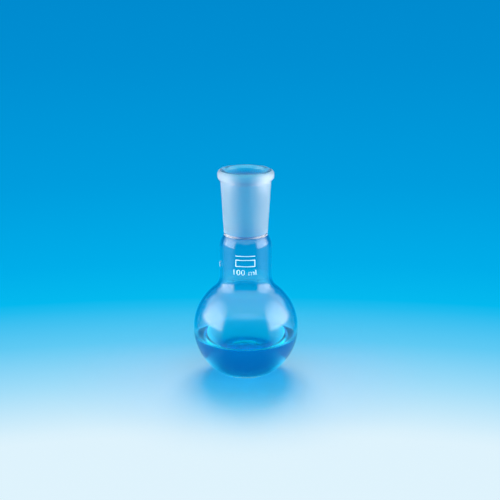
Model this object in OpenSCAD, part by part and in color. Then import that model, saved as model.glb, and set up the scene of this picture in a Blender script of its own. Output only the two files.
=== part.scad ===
// Flat-bottom boiling flask, blown from one piece of borosilicate glass: a round
// bulb on a shallow dished base, a straight neck under a round shoulder, and a
// ground conical joint with a rolled rim. It holds a coloured solution.
// The origin is the centre of the base, +Z is the flask's axis, in millimetres.

/* [Bulb] */
// Outer diameter of the round bulb
bulb_d = 65.6; // [60:0.2:110]
// Thickness of the bulb's wall
bulb_wall = 1.6; // [1.2:0.1:2.4]
// Diameter at which the bulb's curve would reach the bench
base_d = 32.4; // [28:0.5:44]
// Thickness of the glass under the solution
base_wall = 2.2; // [1.6:0.1:3.2]
// Radius that eases the bulb into its flat base, outside
base_round = 4; // [2.5:0.1:5]
// Radius of the same corner, inside
base_round_in = 5.5; // [3.5:0.1:7]
// Diameter of the shallow dish under the base
dish_d = 22; // [12:0.5:24]
// Height of the dish at its middle
dish_h = 0.6; // [0.3:0.1:1.2]

/* [Neck] */
// Outer diameter of the straight neck
neck_d = 32.4; // [30:0.1:37]
// Thickness of the neck's wall
neck_wall = 1.8; // [1.3:0.1:2.4]
// Radius of the sweep from the bulb into the neck, outside
sweep_r = 11; // [5:0.5:13]
// Length of the straight neck, from the sweep up to the shoulder
neck_len = 18.4; // [12:0.2:60]
// Height of the round shoulder between the neck and the joint
shoulder_h = 7.8; // [6:0.1:9.5]
// Radius of the crease where the shoulder meets the joint
crease_r = 1; // [0.5:0.1:2]

/* [Ground joint] */
// Diameter of the ground bore at the rim
joint_d = 24; // [22:0.1:25]
// Length of the joint, from the rim down to the shoulder
joint_len = 40.6; // [35:0.2:45]
// Length over which the ground bore narrows by one unit of diameter
taper = 10; // [8:0.5:20]
// Outer diameter of the joint just under its rim
collar_d = 31.4; // [30.5:0.1:33]
// Outer diameter of the joint at its lower end
collar_foot_d = 26.8; // [25.5:0.1:28.5]

/* [Rolled rim] */
// Outer diameter of the rolled rim
rim_d = 34.6; // [33.6:0.1:37]
// Height of the rim's upright edge, between its two rounds
rim_land = 1.2; // [0.6:0.1:2]
// Radius of the hollow under the rim
rim_blend = 2.2; // [1:0.1:3]
// Depth to which the grinding cuts into the rolled rim
grind_depth = 0.3; // [0.2:0.05:0.6]

/* [Solution] */
// Height of the solution's surface above the bench
fill_h = 23.7; // [14:0.1:32]
// Radius of the curled-up edge where the solution wets the glass
meniscus_r = 2.5; // [1.5:0.1:3.5]
// Share of that curl that stands above the surface
meniscus_rise = 0.7; // [0.5:0.05:0.8]
// Clearance between the solution and the glass
fill_gap = 0.1; // [0.05:0.01:0.2]

/* [Hidden] */
glass_colour = [0.66, 0.85, 0.94, 0.45];
solution_colour = [0.02, 0.62, 0.86, 0.8];
eps = 0.01;
bite = 0.0003;   // overlap that lets two rounds cross cleanly where they touch
turn_fn = 64;    // facets round the axis
bulb_fn = 72;    // facets of the bulb's and the shoulder's outline
round_fn = 32;   // facets of the small rounds
dish_fn = 360;   // facets of the dish's wide, shallow arc

// Bulb: radius and height of its centre, set so that it stands base_d wide
bulb_r = bulb_d / 2;
bulb_z = sqrt(pow(bulb_r, 2) - pow(base_d / 2, 2));
bulb_c = [0, bulb_z];

// Dish: a cap of a large ball under the base
dish_r = (pow(dish_d / 2, 2) + pow(dish_h, 2)) / (2 * dish_h);
dish_c = [0, dish_h - dish_r];

// Heights at which the neck begins and ends, and those of the joint and the rim
neck_z = bulb_z + sqrt(pow(bulb_r + sweep_r, 2) - pow(neck_d / 2 + sweep_r, 2));
neck_top_z = neck_z + neck_len;
joint_z = neck_top_z + shoulder_h;
height = joint_z + joint_len;

// Shoulder: one arc that leaves the neck upright and ends at the joint's foot
shoulder_in = (neck_d - collar_foot_d) / 2;
shoulder_r = (pow(shoulder_in, 2) + pow(shoulder_h, 2)) / (2 * shoulder_in);
shoulder_c = [neck_d / 2 - shoulder_r, neck_top_z];

// Rim: a roll as thick as the wall that it ends, plus what the grinding takes.
// Its section is a round above another, so that its outer edge has a short land.
rim_r = ((rim_d - joint_d) / 2 + grind_depth) / 2;
rim_top_c = [rim_d / 2 - rim_r, height - rim_r];
rim_c = rim_top_c - [0, rim_land];

// Joint: change of radius for each unit of height, in the bore and outside
bore_slope = 1 / (2 * taper);
collar_slope = (collar_d - collar_foot_d) / 2 / (rim_c.y - joint_z);

// Radius of the ground bore, and of the joint's outside, at height z
function bore_r(z) = joint_d / 2 - (height - z) * bore_slope;
function collar_r(z) = collar_foot_d / 2 + (z - joint_z) * collar_slope;

// Fills the corner between an arc (centre c, radius arc_r) and a side that has
// radius side_r at the arc's centre and leans by slope, down to a hollow round
// of radius r. The round lies above the arc where way is 1, below where it is -1.
module hollow_round(c, arc_r, side_r, slope, r, way) {
    lean = 1 + pow(slope, 2);
    off = side_r + r * sqrt(lean) - c.x;
    root = sqrt(lean * pow(arc_r + r, 2) - pow(off, 2));
    up = (way * root - off * slope) / lean;
    centre = c + [off + slope * up, up];
    inside = centre + 2 * r * [-1, slope] / sqrt(lean);
    difference() {
        polygon(way > 0 ? [c, centre, inside] : [inside, centre, c]);
        translate(centre) circle(r + bite, $fn = round_fn);
    }
}

// A ball with a flat base at height foot_z: wall is the thickness left outside
// it, and corner the radius of the corner at its base
module bulb_area(wall, foot_z, corner) {
    r = bulb_r - wall;
    corner_c = [sqrt(pow(r - corner, 2) - pow(bulb_z - foot_z - corner, 2)), foot_z + corner];
    // the corner's round meets the ball on the line from the ball's centre
    touch_z = bulb_z + (corner_c.y - bulb_z) * r / (r - corner);
    intersection() {
        translate(bulb_c) circle(r, $fn = bulb_fn);
        translate([0, touch_z]) square([r + 1, 2 * r]);
    }
    translate(corner_c) circle(corner, $fn = round_fn);
    translate([0, foot_z]) square([corner_c.x, touch_z - foot_z + eps]);
}

// The bulb with its sweep, neck and shoulder, inside walls of the given thickness
module body_area(wall, side_wall, foot_z, corner) {
    neck_r = neck_d / 2 - side_wall;
    bulb_area(wall, foot_z, corner);
    hollow_round(bulb_c, bulb_r - wall, neck_r, 0, sweep_r + side_wall, 1);
    translate(bulb_c) square([neck_r, neck_top_z - bulb_z]);
    intersection() {
        translate(shoulder_c) circle(shoulder_r - side_wall, $fn = bulb_fn);
        translate([0, neck_top_z - eps]) square([neck_r + 1, shoulder_r]);
    }
}

// The flask's outside
module outer_area() {
    difference() {
        body_area(0, 0, 0, base_round);
        translate(dish_c) circle(dish_r, $fn = dish_fn);
    }
    hollow_round(shoulder_c, shoulder_r, collar_r(neck_top_z), collar_slope, crease_r, 1);
    polygon([
        [0, neck_top_z],
        [collar_r(neck_top_z), neck_top_z],
        [collar_r(rim_c.y), rim_c.y],
        [0, rim_c.y]
    ]);
    hollow_round(rim_c, rim_r, collar_r(rim_c.y), collar_slope, rim_blend, -1);
    translate(rim_c) circle(rim_r, $fn = round_fn);
    translate(rim_top_c) circle(rim_r, $fn = round_fn);
    translate([0, rim_c.y]) square([rim_d / 2, rim_land]);
}

// The flask's inside, open at the top through the ground bore
module inner_area() {
    difference() {
        body_area(bulb_wall, neck_wall, base_wall, base_round_in);
        translate(dish_c) circle(dish_r + base_wall, $fn = dish_fn);
    }
    hollow_round(shoulder_c, shoulder_r - neck_wall, bore_r(neck_top_z), bore_slope, crease_r, 1);
    polygon([
        [0, neck_top_z],
        [bore_r(neck_top_z), neck_top_z],
        [bore_r(height + 1), height + 1],
        [0, height + 1]
    ]);
}

// Turns the part of an outline on the axis's right-hand side round the axis
module turned() {
    rotate_extrude($fn = turn_fn) intersection() {
        children();
        square([bulb_d, height + 1]);
    }
}

// Blown glass: one wall from the dished base to the rolled rim
module flask() {
    color(glass_colour) turned() difference() {
        outer_area();
        inner_area();
    }
}

// Solution: fills the foot of the bulb and curls up where it wets the glass
module solution() {
    level_r = bulb_r - bulb_wall - fill_gap;
    curl_z = fill_h + meniscus_r;
    curl_x = sqrt(pow(level_r - meniscus_r, 2) - pow(bulb_z - curl_z, 2));
    color(solution_colour) turned() difference() {
        intersection() {
            bulb_area(bulb_wall + fill_gap, base_wall + fill_gap, base_round_in - fill_gap);
            square([bulb_d, fill_h + meniscus_rise * meniscus_r]);
        }
        translate(dish_c) circle(dish_r + base_wall + fill_gap, $fn = dish_fn);
        translate([0, fill_h]) square([curl_x, height]);
        translate([curl_x, curl_z]) circle(meniscus_r, $fn = round_fn);
    }
}

flask();
solution();
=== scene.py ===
"""Looks of a flat-bottom boiling flask that stands part filled with a blue solution."""

import math

import bmesh
import bpy
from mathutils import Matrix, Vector


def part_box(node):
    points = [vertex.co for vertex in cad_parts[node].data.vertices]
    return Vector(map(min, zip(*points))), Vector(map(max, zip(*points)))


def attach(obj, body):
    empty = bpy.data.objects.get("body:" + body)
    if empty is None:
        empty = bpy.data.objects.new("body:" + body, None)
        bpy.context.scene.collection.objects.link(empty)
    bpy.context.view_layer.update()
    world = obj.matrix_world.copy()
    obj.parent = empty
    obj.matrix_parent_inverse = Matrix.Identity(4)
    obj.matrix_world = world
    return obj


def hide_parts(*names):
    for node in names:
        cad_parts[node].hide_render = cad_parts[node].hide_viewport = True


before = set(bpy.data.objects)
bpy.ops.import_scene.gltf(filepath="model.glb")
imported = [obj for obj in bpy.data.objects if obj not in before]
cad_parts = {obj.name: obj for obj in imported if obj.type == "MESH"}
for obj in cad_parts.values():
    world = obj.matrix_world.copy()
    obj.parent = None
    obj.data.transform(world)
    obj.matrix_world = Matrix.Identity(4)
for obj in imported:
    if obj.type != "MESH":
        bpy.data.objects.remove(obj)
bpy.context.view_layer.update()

MM = 0.001
flask_low, flask_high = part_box("flask")

# ---------------------------------------------------------------- sizes, in millimetres
# Overall sizes come from the frame. The rest are the part's own.
HEIGHT = flask_high[2] / MM
BULB_R = (flask_high[0] - flask_low[0]) / 2 / MM
BASE_R = 16.2            # where the bulb's curve would reach the bench
BULB_WALL = 1.6
BASE_WALL = 2.2
BASE_ROUND = 4.0
BASE_ROUND_IN = 5.5
DISH_R = 11.0            # half width of the dish under the base
DISH_H = 0.6
NECK_R = 16.2
NECK_WALL = 1.8
SWEEP_R = 11.0
SHOULDER_H = 7.8
CREASE_R = 1.0
JOINT_R = 12.0           # radius of the ground bore at the rim
JOINT_LEN = 40.6
BORE_SLOPE = 1 / 20      # loss of radius for each unit of depth
COLLAR_R = 15.7
COLLAR_FOOT_R = 13.4
RIM_R = 17.3
RIM_LAND = 1.2
RIM_BLEND = 2.2
GRIND_DEPTH = 0.3
CREST_TURN = 40          # degrees up the rim's top round at which its polished crest starts
FROST_LIFT = 1.1         # height above the crease at which the frosted glass starts
FILL_H = 23.7            # height of the solution's surface
MENISCUS_R = 2.5
WETTING = 0.06           # how far the solution's mesh reaches into the glass
HAIR = 0.001             # what lies closer than this is at the same place

# longest steps along the outlines' arcs, in degrees
BULB_STEP = 1.5
SWEEP_STEP = 3
CREASE_STEP = 8
ROUND_STEP = 6
LIP_STEP = 5
DISH_STEP = 0.6
LIP_SEARCH = 0.05        # fineness of the search for the rim's inner edge, in degrees

TURN_STEPS = 256         # segments round the axis
TOP_RINGS = 6            # rings across the solution's surface
GLASS_CREASE = 18        # edges that bend by more than this many degrees stay sharp
SOLUTION_CREASE = 60


# ---------------------------------------------------------------- outlines
def on_arc(centre, radius, angle):
    """The point of a round at an angle in degrees."""
    a = math.radians(angle)
    return (centre[0] + radius * math.cos(a), centre[1] + radius * math.sin(a))


def arc(centre, radius, start, end, step):
    """Points along an arc, angles in degrees, both ends included."""
    count = max(2, math.ceil(abs(end - start) / step))
    return [on_arc(centre, radius, start + (end - start) * i / count) for i in range(count + 1)]


def heading(a, b):
    """Direction from a to b, in degrees."""
    return math.degrees(math.atan2(b[1] - a[1], b[0] - a[0]))


def hollow_centre(c, arc_r, side_r, slope, r, way):
    """Centre of a hollow round between an arc and a leaning side, as in the part's source."""
    lean = 1 + slope**2
    off = side_r + r * math.sqrt(lean) - c[0]
    up = (way * math.sqrt(lean * (arc_r + r) ** 2 - off**2) - off * slope) / lean
    return (c[0] + off + slope * up, c[1] + up)


BULB_Z = math.sqrt(BULB_R**2 - BASE_R**2)
BULB_C = (0, BULB_Z)
JOINT_Z = HEIGHT - JOINT_LEN
NECK_TOP_Z = JOINT_Z - SHOULDER_H
NECK_Z = BULB_Z + math.sqrt((BULB_R + SWEEP_R) ** 2 - (NECK_R + SWEEP_R) ** 2)
DISH_BALL = (DISH_R**2 + DISH_H**2) / (2 * DISH_H)
DISH_C = (0, DISH_H - DISH_BALL)
SHOULDER_IN = NECK_R - COLLAR_FOOT_R
SHOULDER_R = (SHOULDER_IN**2 + SHOULDER_H**2) / (2 * SHOULDER_IN)
SHOULDER_C = (NECK_R - SHOULDER_R, NECK_TOP_Z)
RIM_ROUND = (RIM_R - JOINT_R + GRIND_DEPTH) / 2
RIM_TOP_C = (RIM_R - RIM_ROUND, HEIGHT - RIM_ROUND)
RIM_C = (RIM_TOP_C[0], RIM_TOP_C[1] - RIM_LAND)
CREST_Z = on_arc(RIM_TOP_C, RIM_ROUND, CREST_TURN)[1]
COLLAR_SLOPE = (COLLAR_R - COLLAR_FOOT_R) / (RIM_C[1] - JOINT_Z)


def bore_r(z):
    """Radius of the ground bore at height z."""
    return JOINT_R - (HEIGHT - z) * BORE_SLOPE


def collar_r(z):
    """Radius of the joint's outside at height z."""
    return COLLAR_FOOT_R + (z - JOINT_Z) * COLLAR_SLOPE


def corner_centre(wall, foot_z, corner):
    """Centre of the round at the foot of the bulb."""
    x = math.sqrt((BULB_R - wall - corner) ** 2 - (BULB_Z - foot_z - corner) ** 2)
    return (x, foot_z + corner)


def curl_centre():
    """Centre of the curl at the edge of the solution's surface, which touches the glass."""
    z = FILL_H + MENISCUS_R
    return (math.sqrt((BULB_R - BULB_WALL - MENISCUS_R) ** 2 - (BULB_Z - z) ** 2), z)


def body_outline(wall, side_wall, foot_z, corner, side_at, slope, stop):
    """From the foot's corner up over the bulb, sweep, neck and shoulder to the crease under the
    joint, whose side leans by slope and would have radius side_at at the top of the neck. The
    bulb's arc has a point at heading stop."""
    foot_c = corner_centre(wall, foot_z, corner)
    sweep = SWEEP_R + side_wall
    neck = NECK_R - side_wall
    sweep_c = hollow_centre(BULB_C, BULB_R - wall, neck, 0, sweep, 1)
    crease_c = hollow_centre(SHOULDER_C, SHOULDER_R - side_wall, side_at, slope, CREASE_R, 1)
    low = heading(BULB_C, foot_c)
    high = heading(BULB_C, sweep_c)
    turn = heading(SHOULDER_C, crease_c)
    lean = math.degrees(math.atan(slope))
    return (
        arc(foot_c, corner, -90, low, ROUND_STEP)
        + arc(BULB_C, BULB_R - wall, low, stop, BULB_STEP)[1:]
        + arc(BULB_C, BULB_R - wall, stop, high, BULB_STEP)[1:]
        + arc(sweep_c, sweep, 180 + high, 180, SWEEP_STEP)[1:]
        + arc(SHOULDER_C, SHOULDER_R - side_wall, 0, turn, SWEEP_STEP)
        + arc(crease_c, CREASE_R, 180 + turn, 180 - lean, CREASE_STEP)[1:]
    )


def rim_outline():
    """From the collar out round the rolled rim and in to the ground bore."""
    under_c = hollow_centre(RIM_C, RIM_ROUND, collar_r(RIM_C[1]), COLLAR_SLOPE, RIM_BLEND, -1)
    lean = math.degrees(math.atan(COLLAR_SLOPE))
    out = heading(under_c, RIM_C)

    def outside_bore(angle):
        x, z = on_arc(RIM_TOP_C, RIM_ROUND, angle)
        return x > bore_r(z)

    # the rim ends where the inner side of its top round meets the ground bore
    lip = 90.0
    while outside_bore(lip):
        lip += LIP_SEARCH
    return (
        arc(under_c, RIM_BLEND, 180 - lean, out, ROUND_STEP)
        + arc(RIM_C, RIM_ROUND, out - 180, 0, ROUND_STEP)[1:]
        + arc(RIM_TOP_C, RIM_ROUND, 0, lip, LIP_STEP)
    )


def dish_outline(lift):
    """From the axis out to the edge of the dish, lift above the dish's own surface."""
    ball = DISH_BALL + lift
    edge = math.degrees(math.asin((lift - DISH_C[1]) / ball))
    return arc(DISH_C, ball, 90, edge, DISH_STEP)


def below(points, height):
    """How many points lie lower than height."""
    return sum(z < height - HAIR for r, z in points)


def above(points, height):
    """How many points lie higher than height."""
    return sum(z > height + HAIR for r, z in points)


def glass_outline():
    """The whole section of the glass, from the axis under the base round to the axis inside it.
    Returns its points and its zones, each as the places in them where it starts and ends: the
    ground bore, the wetted inside, the frosted outside of the joint, the outside that the
    solution backs, and the outside of the neck and shoulder."""
    line = heading(BULB_C, curl_centre())
    bore = bore_r(NECK_TOP_Z)
    outside = body_outline(0, 0, 0, BASE_ROUND, collar_r(NECK_TOP_Z), COLLAR_SLOPE, line)
    inside = body_outline(BULB_WALL, NECK_WALL, BASE_WALL, BASE_ROUND_IN, bore, BORE_SLOPE, line)
    # the grinding stops a little above the crease
    frost_z = outside[-1][1] + FROST_LIFT
    ground_z = inside[-1][1] + FROST_LIFT
    outside.append((collar_r(frost_z), frost_z))
    inside.append((bore_r(ground_z), ground_z))
    foot = dish_outline(0) + outside
    outer = foot + rim_outline()
    points = outer + inside[::-1] + dish_outline(BASE_WALL)[::-1]
    # the solution's curled edge stands on this line, inside and outside
    line_in = on_arc(BULB_C, BULB_R - BULB_WALL, line)[1]
    line_out = on_arc(BULB_C, BULB_R, line)[1]
    ground = (len(outer) - 1, len(outer) + above(inside, ground_z))
    wetted = (len(outer) + above(inside, line_in), len(points))
    frosted = (below(foot, frost_z), len(outer) - above(outer, CREST_Z))
    backed = (0, below(foot, line_out))
    neck = (below(foot, NECK_Z), below(foot, frost_z))
    return points, (ground, wetted, frosted, backed, neck)


def solution_outline():
    """From the axis under the solution round its foot, up to its curled edge and back to the axis."""
    wall = BULB_WALL - WETTING
    foot_z = BASE_WALL - WETTING
    corner = BASE_ROUND_IN + WETTING
    foot_c = corner_centre(wall, foot_z, corner)
    low = heading(BULB_C, foot_c)
    curl_c = curl_centre()
    top = heading(BULB_C, curl_c)
    return (
        dish_outline(foot_z)
        + arc(foot_c, corner, -90, low, ROUND_STEP)
        + arc(BULB_C, BULB_R - wall, low, top, BULB_STEP)[1:]
        + arc(curl_c, MENISCUS_R, top, -90, LIP_STEP)
        + [(curl_c[0] * k / TOP_RINGS, FILL_H) for k in range(TOP_RINGS - 1, -1, -1)]
    )


# ---------------------------------------------------------------- meshes
def place(name, data):
    """A new object in the scene."""
    obj = bpy.data.objects.new(name, data)
    bpy.context.scene.collection.objects.link(obj)
    return obj


def from_bmesh(name, bm):
    """A new object with the mesh that bm holds. It uses bm up."""
    mesh = bpy.data.meshes.new(name)
    bm.to_mesh(mesh)
    bm.free()
    return place(name, mesh)


def lathe(name, outline, crease, zones=()):
    """Turns an outline in millimetres round the axis. Edges that bend by more than crease degrees
    stay sharp. Each zone, from the first on, has the next material slot."""
    bm = bmesh.new()
    rings = []
    for r, z in outline:
        if r < HAIR:
            rings.append([bm.verts.new((0, 0, z * MM))])
            continue
        ring = []
        for k in range(TURN_STEPS):
            a = 2 * math.pi * k / TURN_STEPS
            ring.append(bm.verts.new((r * MM * math.cos(a), r * MM * math.sin(a), z * MM)))
        rings.append(ring)
    for i, (low, high) in enumerate(zip(rings[:-1], rings[1:])):
        slot = 0
        for number, (first, last) in enumerate(zones, 1):
            if first <= i < last:
                slot = number
        for k in range(TURN_STEPS):
            n = (k + 1) % TURN_STEPS
            corners = [low[k % len(low)], low[n % len(low)], high[n % len(high)], high[k % len(high)]]
            face = bm.faces.new(list(dict.fromkeys(corners)))
            face.material_index = slot
            face.smooth = True
    bmesh.ops.recalc_face_normals(bm, faces=bm.faces)
    obj = from_bmesh(name, bm)
    obj.data.set_sharp_from_angle(angle=math.radians(crease))
    return obj


# ---------------------------------------------------------------- shader nodes
def linear(r, g, b):
    """A colour given from 0 to 255 as it looks on screen, as the linear values that shaders take."""
    def channel(c):
        c /= 255
        return c / 12.92 if c <= 0.04045 else ((c + 0.055) / 1.055) ** 2.4

    return (channel(r), channel(g), channel(b), 1)


class Steps:
    """Adds the nodes of a formula one by one. A value is a number or another node's output."""

    def __init__(self, tree):
        self.nodes = tree.nodes
        self.links = tree.links

    def feed(self, socket, value):
        """Links another node's output to a socket, or sets a number or colour on it."""
        if hasattr(value, "is_linked"):
            self.links.new(value, socket)
        else:
            socket.default_value = value

    def math(self, operation, *values):
        """One sum of a Math node."""
        node = self.nodes.new("ShaderNodeMath")
        node.operation = operation
        for socket, value in zip(node.inputs, values):
            self.feed(socket, value)
        return node.outputs["Value"]

    def fade(self, value, start, end, low=0.0, high=1.0, curve="SMOOTHSTEP"):
        """From low to high as value goes from start to end, with soft ends unless curve is LINEAR."""
        node = self.nodes.new("ShaderNodeMapRange")
        node.interpolation_type = curve
        self.feed(node.inputs["Value"], value)
        node.inputs["From Min"].default_value = start
        node.inputs["From Max"].default_value = end
        node.inputs["To Min"].default_value = low
        node.inputs["To Max"].default_value = high
        return node.outputs["Result"]

    def toward(self, across, y, z, turn, up):
        """How close a direction is to the one that lies turn degrees round from the front and
        up degrees above level: the cosine of the angle between them."""
        a = math.radians(turn)
        e = math.radians(up)
        level = self.math(
            "ADD",
            self.math("MULTIPLY", across, math.sin(a) * math.cos(e)),
            self.math("MULTIPLY", y, -math.cos(a) * math.cos(e)),
        )
        return self.math("ADD", level, self.math("MULTIPLY", z, math.sin(e)))

    def ramp(self, value, stops):
        """The colour at value, from (position, colour) pairs."""
        node = self.nodes.new("ShaderNodeValToRGB")
        elements = node.color_ramp.elements
        while len(elements) < len(stops):
            elements.new(0.5)
        for element, (position, colour) in zip(elements, stops):
            element.position = position
            element.color = colour
        self.feed(node.inputs["Fac"], value)
        return node.outputs["Color"]

    def grade(self, value, stops):
        """The colour at value, from stops that give values and the colours on screen there."""
        start = stops[0][0]
        end = stops[-1][0]
        along = self.fade(value, start, end, curve="LINEAR")
        shares = [((at - start) / (end - start), linear(*colour)) for at, colour in stops]
        return self.ramp(along, shares)

    def tinted(self, factor, colour, tint):
        """The colour, multiplied by tint as far as factor says."""
        node = self.nodes.new("ShaderNodeMix")
        node.data_type = "RGBA"
        node.blend_type = "MULTIPLY"
        plain, multiplier = [socket for socket in node.inputs if socket.type == "RGBA"]
        self.feed(node.inputs["Factor"], factor)
        self.feed(plain, colour)
        self.feed(multiplier, tint)
        return [socket for socket in node.outputs if socket.type == "RGBA"][0]

    def background(self, colour, strength):
        """Light of the world."""
        node = self.nodes.new("ShaderNodeBackground")
        self.feed(node.inputs["Color"], colour)
        self.feed(node.inputs["Strength"], strength)
        return node.outputs["Background"]

    def mix(self, factor, first, second):
        """The first shader where factor is 0, and the second where it is 1."""
        node = self.nodes.new("ShaderNodeMixShader")
        self.feed(node.inputs["Fac"], factor)
        self.links.new(first, node.inputs[1])
        self.links.new(second, node.inputs[2])
        return node.outputs["Shader"]

    def add(self, first, second):
        """Both shaders together."""
        node = self.nodes.new("ShaderNodeAddShader")
        self.links.new(first, node.inputs[0])
        self.links.new(second, node.inputs[1])
        return node.outputs["Shader"]


# ---------------------------------------------------------------- materials
GLASS_IOR = 1.473
GLASS_TINT = (0.90, 0.945, 0.975, 1)
WET_TINT = (0.86, 0.94, 1.0, 1)
# the neck and shoulder take a darker tint than the clear glass: painted shade that dims the light they
# show
NECK_SHADE_TINT = (0.80, 0.85, 0.92, 1)
FROST_TINT = (0.98, 0.995, 1, 1)
BORE_TINT = (0.88, 0.92, 0.95, 1)
WAVES = (60, 1.0)        # scale and detail of the slow waves of blown glass
GRIT = (2600, 3.0)       # and of the grinding
WAVE_H = 0.00002         # height of both, in metres

SOLUTION_IOR = 1.333
DYE = (0.0, 0.955, 0.984, 1)
DYE_DENSITY = 150.0
TOP_GLARE = 0.3
TOP_INSET = 0.02         # the mirroring surface lies at least this far from the glass, in millimetres
TOP_DEPTH = 0.5          # and not deeper than this under the solution's level

ENAMEL_ROUGH = 0.45
ENAMEL_TONES = [(0.3, (0.70, 0.78, 0.84, 1)), (0.6, (0.88, 0.91, 0.93, 1))]
SPECKLE = (3500, 2.0)    # scale and detail of the enamel's grain
SPECKLE_H = 0.00001      # its height in metres
SPECKLE_BUMP = 0.3


def new_material(name):
    """A new material, and its shader and node steps."""
    m = bpy.data.materials.new(name)
    m.use_nodes = True
    return m, m.node_tree.nodes["Principled BSDF"], Steps(m.node_tree)


def grained(shader, steps, grain, height, strength=1.0):
    """Gives the shader a bump of noise in object coordinates, and returns the noise."""
    where = steps.nodes.new("ShaderNodeTexCoord")
    noise = steps.nodes.new("ShaderNodeTexNoise")
    noise.inputs["Scale"].default_value = grain[0]
    noise.inputs["Detail"].default_value = grain[1]
    bump = steps.nodes.new("ShaderNodeBump")
    bump.inputs["Strength"].default_value = strength
    bump.inputs["Distance"].default_value = height
    steps.links.new(where.outputs["Object"], noise.inputs["Vector"])
    steps.links.new(noise.outputs["Fac"], bump.inputs["Height"])
    steps.links.new(bump.outputs["Normal"], shader.inputs["Normal"])
    return noise.outputs["Fac"]


def glass(name, tint, glare=1.0, rough=0.0, grain=WAVES, clarity=1.0):
    """Borosilicate glass. Glare is how much it mirrors, and clarity how much of the light from
    outside it lets through, both from 0 to 1."""
    m, shader, steps = new_material(name)
    shader.inputs["Base Color"].default_value = tint
    shader.inputs["Specular Tint"].default_value = (glare, glare, glare, 1)
    shader.inputs["Transmission Weight"].default_value = clarity
    shader.inputs["Roughness"].default_value = rough
    shader.inputs["IOR"].default_value = GLASS_IOR
    grained(shader, steps, grain, WAVE_H)
    if clarity < 1:
        # the grit scatters what falls on it from outside, not what comes through the glass
        side = steps.nodes.new("ShaderNodeNewGeometry")
        passed = steps.math("MULTIPLY_ADD", side.outputs["Backfacing"], 1 - clarity, clarity)
        steps.links.new(passed, shader.inputs["Transmission Weight"])
    return m


def blue_solution():
    """Clear water whose dye takes light away along its path."""
    m, shader, steps = new_material("blue_solution")
    shader.inputs["Base Color"].default_value = (1, 1, 1, 1)
    shader.inputs["Transmission Weight"].default_value = 1.0
    shader.inputs["Roughness"].default_value = 0.0
    shader.inputs["IOR"].default_value = SOLUTION_IOR
    # only the face that meets the air mirrors: where it wets the glass there is nothing to see
    where = steps.nodes.new("ShaderNodeTexCoord")
    split = steps.nodes.new("ShaderNodeSeparateXYZ")
    from_bulb = steps.nodes.new("ShaderNodeVectorMath")
    from_bulb.operation = "DISTANCE"
    from_bulb.inputs[1].default_value = (0, 0, BULB_Z * MM)
    steps.links.new(where.outputs["Object"], split.inputs["Vector"])
    steps.links.new(where.outputs["Object"], from_bulb.inputs[0])
    inner = steps.math("LESS_THAN", from_bulb.outputs["Value"], (BULB_R - BULB_WALL - TOP_INSET) * MM)
    high = steps.math("GREATER_THAN", split.outputs["Z"], (FILL_H - TOP_DEPTH) * MM)
    face = steps.math("MULTIPLY", inner, high)
    steps.links.new(steps.math("MULTIPLY", face, TOP_GLARE), shader.inputs["Specular Tint"])
    dye = steps.nodes.new("ShaderNodeVolumeAbsorption")
    dye.inputs["Color"].default_value = DYE
    dye.inputs["Density"].default_value = DYE_DENSITY
    steps.links.new(dye.outputs["Volume"], steps.nodes["Material Output"].inputs["Volume"])
    return m


def enamel():
    """White enamel, a little uneven as it comes off the screen it is printed through."""
    m, shader, steps = new_material("white_enamel")
    shader.inputs["Roughness"].default_value = ENAMEL_ROUGH
    speckle = grained(shader, steps, SPECKLE, SPECKLE_H, SPECKLE_BUMP)
    steps.links.new(steps.ramp(speckle, ENAMEL_TONES), shader.inputs["Base Color"])
    return m


# ---------------------------------------------------------------- the flask and its solution
outline, zones = glass_outline()
flask = lathe("flask_glass", outline, GLASS_CREASE, zones)
for finish in (
    glass("clear_glass", GLASS_TINT),
    glass("ground_glass", BORE_TINT, glare=0.3, rough=0.45, grain=GRIT),
    glass("wetted_glass", WET_TINT, glare=0.0),
    glass("frosted_glass", FROST_TINT, rough=0.35, grain=GRIT, clarity=0.92),
    glass("backed_glass", GLASS_TINT, glare=0.15),
    # the same clear glass, with the darker tint of painted shade on the neck and shoulder
    glass("neck_glass_shaded", NECK_SHADE_TINT),
):
    flask.data.materials.append(finish)
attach(flask, "root")
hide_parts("flask")

solution = lathe("solution_fill", solution_outline(), SOLUTION_CREASE)
solution.data.materials.append(blue_solution())
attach(solution, "root")
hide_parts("solution")

# ---------------------------------------------------------------- marks fired on to the neck
# Lengths are in millimetres, and turns in degrees round from the front.
MARK_THICK = 0.05        # height of a printed mark above the glass
MARK_ROOT = 0.02         # and how far it reaches into it
MARK_STEP = 0.5          # longest flat stretch of a mark bent round the neck
MARK_W = 12.2            # width of the bar and of the field under it
MARK_TURN = -1           # and their turn
LETTER_SHARE = 0.7       # height of a capital letter as a share of the font's size
LETTER_THINNING = 0.018  # what is taken off each side of a stroke, as a share of that height
LETTER_CURVE = 4         # segments in a letter's curves
CORNER_STEP = 15         # longest step round a patch's corner, in degrees


def words(text, height):
    """Flat letters in millimetres, x across and y up, centred on the origin."""
    curve = bpy.data.curves.new("words", "FONT")
    curve.body = text
    curve.size = height / LETTER_SHARE
    curve.offset = -LETTER_THINNING * height
    curve.resolution_u = LETTER_CURVE
    obj = place("words", curve)
    bpy.context.view_layer.update()
    shown = obj.evaluated_get(bpy.context.evaluated_depsgraph_get())
    mesh = bpy.data.meshes.new_from_object(shown)
    bm = bmesh.new()
    bm.from_mesh(mesh)
    bpy.data.objects.remove(obj)
    bpy.data.curves.remove(curve)
    bpy.data.meshes.remove(mesh)
    bmesh.ops.remove_doubles(bm, verts=bm.verts, dist=HAIR)
    return bm


def patch(width, height, corner):
    """A flat rounded rectangle in millimetres, centred on the origin."""
    bm = bmesh.new()
    points = []
    for x, y, start in ((1, 1, 0), (-1, 1, 90), (-1, -1, 180), (1, -1, 270)):
        centre = (x * (width / 2 - corner), y * (height / 2 - corner))
        points += arc(centre, corner, start, start + 90, CORNER_STEP)
    bm.faces.new([bm.verts.new((x, y, 0)) for x, y in points])
    return bm


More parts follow.
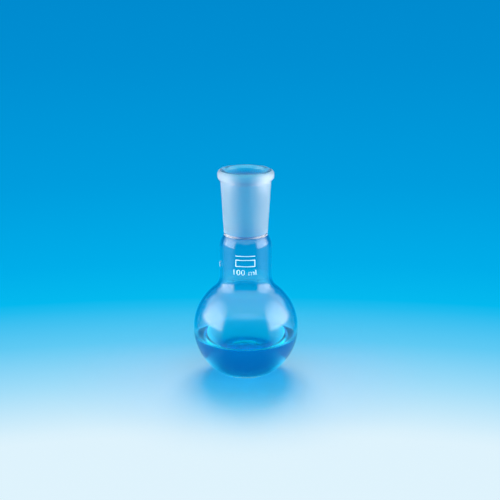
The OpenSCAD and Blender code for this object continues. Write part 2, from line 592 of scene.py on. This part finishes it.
def outlined(width, height, line):
    """The outline of a rectangle in millimetres, as wide as line, centred on the origin."""
    bm = bmesh.new()
    rings = []
    for inset in (0, line):
        x = width / 2 - inset
        y = height / 2 - inset
        corners = ((x, y), (-x, y), (-x, -y), (x, -y))
        rings.append([bm.verts.new((a, b, 0)) for a, b in corners])
    outer, inner = rings
    for k in range(4):
        n = (k + 1) % 4
        bm.faces.new((outer[k], outer[n], inner[n], inner[k]))
    return bm


def fired_on(name, bm, turn, middle, width=0, thick=MARK_THICK):
    """Bends a flat mark round the neck, turn degrees round from the front and with its middle
    that high up, and gives it its thickness. Where a width is given, it is stretched to that."""
    left = min(v.co.x for v in bm.verts)
    right = max(v.co.x for v in bm.verts)
    low = min(v.co.y for v in bm.verts)
    high = max(v.co.y for v in bm.verts)
    scale = width / (right - left) if width else 1
    cuts = math.ceil((right - left) / MARK_STEP)
    for k in range(1, cuts):
        x = left + (right - left) * k / cuts
        everything = bm.verts[:] + bm.edges[:] + bm.faces[:]
        bmesh.ops.bisect_plane(bm, geom=everything, plane_co=(x, 0, 0), plane_no=(1, 0, 0))
    front = bmesh.ops.extrude_face_region(bm, geom=bm.faces[:])
    outer = {v for v in front["geom"] if isinstance(v, bmesh.types.BMVert)}
    for v in bm.verts:
        a = math.radians(turn) + (v.co.x - (left + right) / 2) * scale / NECK_R
        r = NECK_R + (thick if v in outer else -MARK_ROOT)
        z = middle + v.co.y - (low + high) / 2
        v.co = (r * MM * math.sin(a), -r * MM * math.cos(a), z * MM)
    bmesh.ops.recalc_face_normals(bm, faces=bm.faces)
    obj = from_bmesh(name, bm)
    obj.data.materials.append(white_enamel)
    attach(obj, "root")


white_enamel = enamel()
fired_on("mark_bar", patch(MARK_W, height=0.38, corner=0.15), MARK_TURN, middle=79.2)
fired_on("mark_field", outlined(MARK_W, height=4.4, line=0.42), MARK_TURN, middle=74.7)
fired_on("mark_capacity", words("100 ml", height=3.5), turn=-2, middle=68.9, width=14.0)
fired_on("mark_side_spot", patch(width=1.5, height=3.8, corner=0.7), turn=-86, middle=70.4, thick=0.1)

# ---------------------------------------------------------------- floor
# Lengths are in metres.
FLOOR_SIZE = 6.0
FLOOR_SIDES = 96
FLOOR_DROP = 0.00002     # gap under the flask's base
FLOOR_ROUGH = 0.3
FLOOR_FULL = 0.03        # distance from the flask at which the floor starts to fade out
FLOOR_R = 0.13           # and where it has faded out into the backdrop
# distance behind the flask, and the floor's colour there
FLOOR_TONES = [
    (-FLOOR_R, (246, 250, 252)),
    (0, (160, 216, 242)),
    (0.05, (92, 198, 238)),
    (FLOOR_R, (0, 180, 232)),
]
FLOOR_TINT = (0.15, 0.88, 1, 1)    # what is left of its colour where it is seen through the flask


def new_floor():
    """A pale floor round the flask that fades out into the backdrop's own colours."""
    bm = bmesh.new()
    bmesh.ops.create_circle(bm, cap_ends=True, segments=FLOOR_SIDES, radius=FLOOR_SIZE)
    obj = from_bmesh("floor", bm)
    obj.location.z = -FLOOR_DROP
    m, shader, steps = new_material("floor")
    shader.inputs["Roughness"].default_value = FLOOR_ROUGH
    where = steps.nodes.new("ShaderNodeTexCoord").outputs["Object"]
    split = steps.nodes.new("ShaderNodeSeparateXYZ")
    steps.links.new(where, split.inputs["Vector"])
    # through the glass the floor is the bluer one behind the flask, as in the backdrop
    through = steps.nodes.new("ShaderNodeLightPath").outputs["Is Transmission Ray"]
    tone = steps.grade(split.outputs["Y"], FLOOR_TONES)
    steps.links.new(steps.tinted(through, tone, FLOOR_TINT), shader.inputs["Base Color"])
    length = steps.nodes.new("ShaderNodeVectorMath")
    length.operation = "LENGTH"
    steps.links.new(where, length.inputs[0])
    grain = steps.nodes.new("ShaderNodeTexWhiteNoise")
    steps.links.new(where, grain.inputs["Vector"])
    faded = steps.fade(length.outputs["Value"], FLOOR_FULL, FLOOR_R)
    gone = steps.math("LESS_THAN", grain.outputs["Value"], faded)
    nothing = steps.nodes.new("ShaderNodeBsdfTransparent")
    surface = steps.mix(gone, shader.outputs["BSDF"], nothing.outputs["BSDF"])
    steps.links.new(surface, steps.nodes["Material Output"].inputs["Surface"])
    obj.data.materials.append(m)


# ---------------------------------------------------------------- world
# Directions are in degrees: turn goes round from the front on either side, and up from level.
# A pair gives where a fade starts and ends.

# degrees up, and the backdrop's colour there
BACKDROP = [
    (-60, (232, 246, 253)),
    (-25, (222, 243, 253)),
    (-22.5, (160, 221, 249)),
    (-20.5, (96, 202, 244)),
    (-18.5, (4, 186, 239)),
    (-16.5, (0, 173, 233)),
    (-12.5, (0, 157, 222)),
    (-6.5, (0, 143, 211)),
    (10, (0, 118, 190)),
    (50, (0, 90, 158)),
]
BEHIND_LOW = -19.2       # lowest part of the backdrop that shows through the flask

# the studio, as the glass mirrors it: a panel with a hot spot on each side, a dimmer strip
# behind each panel that reaches higher, and a ceiling
STUDIO_TINT = (1, 0.9, 0.78, 1)
SIDE_GLOW = 0.8
SIDE_FROM = (48, 60)     # turns over which a panel starts
SIDE_TO = (112, 132)     # and ends
SIDE_FOOT = (-1, 6)      # elevations over which it starts
FOOT_SHARE = 0.08        # share of its brightness that is left under its foot
HOT_GLOW = 3.2           # what the hot spot adds at its middle
HOT_TURN = 83
HOT_UP = 10
HOT_WIDE = 48            # degrees from its middle to its edge
STRIP_GLOW = 1.1
STRIP_FROM = (112, 128)
STRIP_TO = (130, 142)
STRIP_FOOT = (8, 24)
CEILING_GLOW = 1.0
CEILING_EDGE = (28, 46)
DIM_SHARE = 0.3          # brightness of the mirrored backdrop on the camera's side
DIM_EDGE = (55, 80)      # turns over which it gets back to full brightness
BLUR_SHARE = 0.3         # share of the studio that shows through ground glass

# what the world lends to surfaces that scatter light
FILL_GLOW = 0.88
FILL_TINT = (0.05, 0.68, 1, 1)
KEY_UP = 42              # elevation of the key light, which stands behind the flask
KEY_WIDE = 80            # degrees from its middle to where it has faded out, seen through glass
KEY_FULL = 40            # and to where it starts to fade
WINDOW_GLOW = 4.6        # the key light as it comes through the glass
WINDOW_TINT = (0.7, 0.85, 1.3, 1)


def studio(steps, across, y, z, turn, up):
    """How bright the studio is in a direction."""
    side = steps.math("MULTIPLY", steps.fade(turn, *SIDE_FROM), steps.fade(turn, *SIDE_TO, 1, 0))
    side = steps.math("MULTIPLY", side, steps.fade(up, *SIDE_FOOT, FOOT_SHARE, 1.0))
    near = steps.toward(across, y, z, HOT_TURN, HOT_UP)
    hot = steps.fade(near, math.cos(math.radians(HOT_WIDE)), 1.0, 0.0, HOT_GLOW)
    panel = steps.math("MULTIPLY", side, steps.math("ADD", hot, SIDE_GLOW))
    strip = steps.math("MULTIPLY", steps.fade(turn, *STRIP_FROM), steps.fade(turn, *STRIP_TO, 1, 0))
    strip = steps.math("MULTIPLY", strip, steps.fade(up, *STRIP_FOOT, 0.0, STRIP_GLOW))
    ceiling = steps.fade(up, *CEILING_EDGE, 0.0, CEILING_GLOW)
    return steps.math("MAXIMUM", steps.math("ADD", panel, strip), ceiling)


def new_world():
    """A backdrop graded by height from pale at the floor to blue. Reflections also show the studio.
    Surfaces that scatter light get a blue fill, and the key light where it comes through glass."""
    world = bpy.data.worlds.new("backdrop")
    bpy.context.scene.world = world
    world.use_nodes = True
    world.cycles.sampling_method = "NONE"
    tree = world.node_tree
    tree.nodes.remove(tree.nodes["Background"])
    steps = Steps(tree)
    where = tree.nodes.new("ShaderNodeTexCoord")
    split = tree.nodes.new("ShaderNodeSeparateXYZ")
    path = tree.nodes.new("ShaderNodeLightPath").outputs
    tree.links.new(where.outputs["Generated"], split.inputs["Vector"])
    x, y, z = split.outputs
    across = steps.math("ABSOLUTE", x)
    up = steps.math("DEGREES", steps.math("ARCSINE", z))
    turn = steps.math("DEGREES", steps.math("ARCTAN2", across, steps.math("MULTIPLY", y, -1)))

    # rays that leave the flask see the floor behind it, which is bluer than the floor in front
    lowest = steps.math("MULTIPLY_ADD", path["Is Camera Ray"], BACKDROP[0][0] - BEHIND_LOW, BEHIND_LOW)
    colour = steps.grade(steps.math("MAXIMUM", up, lowest), BACKDROP)
    # a ray shows the studio once it has been mirrored, and part of it once ground glass blurred it
    mirrored = steps.math("GREATER_THAN", path["Glossy Depth"], 0.5)
    blurred = steps.math("SUBTRACT", path["Is Transmission Ray"], path["Is Singular Ray"])
    share = steps.math("MAXIMUM", mirrored, steps.math("MULTIPLY", blurred, BLUR_SHARE))
    dim = steps.fade(turn, *DIM_EDGE, DIM_SHARE, 1.0)
    strength = steps.math("MULTIPLY_ADD", mirrored, steps.math("SUBTRACT", dim, 1.0), 1.0)
    white = steps.math("MULTIPLY", studio(steps, across, y, z, turn, up), share)
    seen = steps.add(steps.background(colour, strength), steps.background(STUDIO_TINT, white))

    edge = math.cos(math.radians(KEY_WIDE))
    full = math.cos(math.radians(KEY_FULL))
    window = steps.fade(steps.toward(across, y, z, 180, KEY_UP), edge, full)
    key = steps.background(WINDOW_TINT, steps.math("MULTIPLY", window, WINDOW_GLOW))
    nothing = steps.background((0, 0, 0, 1), 0.0)
    fill = steps.background(FILL_TINT, FILL_GLOW)
    # a ray that comes straight from a scattering surface meets the key light's own lamp instead
    lit = steps.add(fill, steps.mix(path["Is Diffuse Ray"], key, nothing))
    scattered = steps.math("GREATER_THAN", path["Diffuse Depth"], 0.5)
    tree.links.new(steps.mix(scattered, seen, lit), tree.nodes["World Output"].inputs["Surface"])


# ---------------------------------------------------------------- lamps
def softbox(name, turn, rise, away, size, glow, aim, tint=(1, 1, 1), spread=180):
    """A square lamp turn degrees round from the front and rise degrees up, away metres from its
    aim. A glow of 1 is as bright as white. It lights what scatters light, and the glass doesn't
    mirror it."""
    data = bpy.data.lights.new(name, "AREA")
    data.shape = "SQUARE"
    data.size = size
    data.energy = glow * math.pi * size * size
    data.color = tint
    data.spread = math.radians(spread)
    obj = place(name, data)
    a = math.radians(turn)
    e = math.radians(rise)
    back = Vector((math.sin(a) * math.cos(e), -math.cos(a) * math.cos(e), math.sin(e))) * away
    obj.location = back + Vector(aim)
    obj.rotation_euler = back.to_track_quat("Z", "Y").to_euler()
    obj.visible_camera = False
    obj.visible_glossy = False
    obj.visible_transmission = False


def new_lamps():
    """The key light behind the flask, and narrow lamps that light its joint and its marks."""
    softbox("key_light", turn=180, rise=KEY_UP, away=0.7, size=0.4, glow=13.5,
            aim=(0, 0, 0), tint=(1, 0.5, 0.24))
    softbox("front_light", turn=0, rise=-4, away=0.9, size=0.12, glow=1.5,
            aim=(0, 0, 0.09), tint=(1, 0.85, 0.75), spread=20)
    for side, way in (("left", -1), ("right", 1)):
        softbox(side + "_light", turn=way * 95, rise=-6, away=0.5, size=0.12, glow=4.5,
                aim=(0, 0, 0.112), spread=24)
    # these two are close to the rolled rim, and the right one is the brighter
    for side, way, glow in (("left", -1, 4.4), ("right", 1, 7.26)):
        softbox(side + "_rim_light", turn=way * 50, rise=-25, away=0.12, size=0.01, glow=glow,
                aim=(way * 0.0125, -0.0115, 0.1257), spread=8)


new_floor()
new_world()
new_lamps()

# ---------------------------------------------------------------- camera
CAMERA_AT = (0, -0.676, 0.2719)
CAMERA_DOWN = 15.95      # degrees below level
CAMERA_LENS = 81.8       # millimetres, on a sensor as wide as this
CAMERA_SENSOR = 36.0
CAMERA_SHIFT = 0.0084
BOUNCES = 40             # light crosses many faces on its way through the flask and the solution

cam = bpy.data.cameras.new("camera")
cam.sensor_width = CAMERA_SENSOR
cam.lens = CAMERA_LENS
cam.shift_x = CAMERA_SHIFT
camera = place("camera", cam)
camera.location = CAMERA_AT
camera.rotation_euler = (math.radians(90 - CAMERA_DOWN), 0, 0)
bpy.context.scene.camera = camera
bpy.context.scene.view_settings.view_transform = "Standard"
bpy.context.scene.cycles.max_bounces = BOUNCES
bpy.context.scene.cycles.transmission_bounces = BOUNCES
bpy.context.scene.cycles.glossy_bounces = BOUNCES
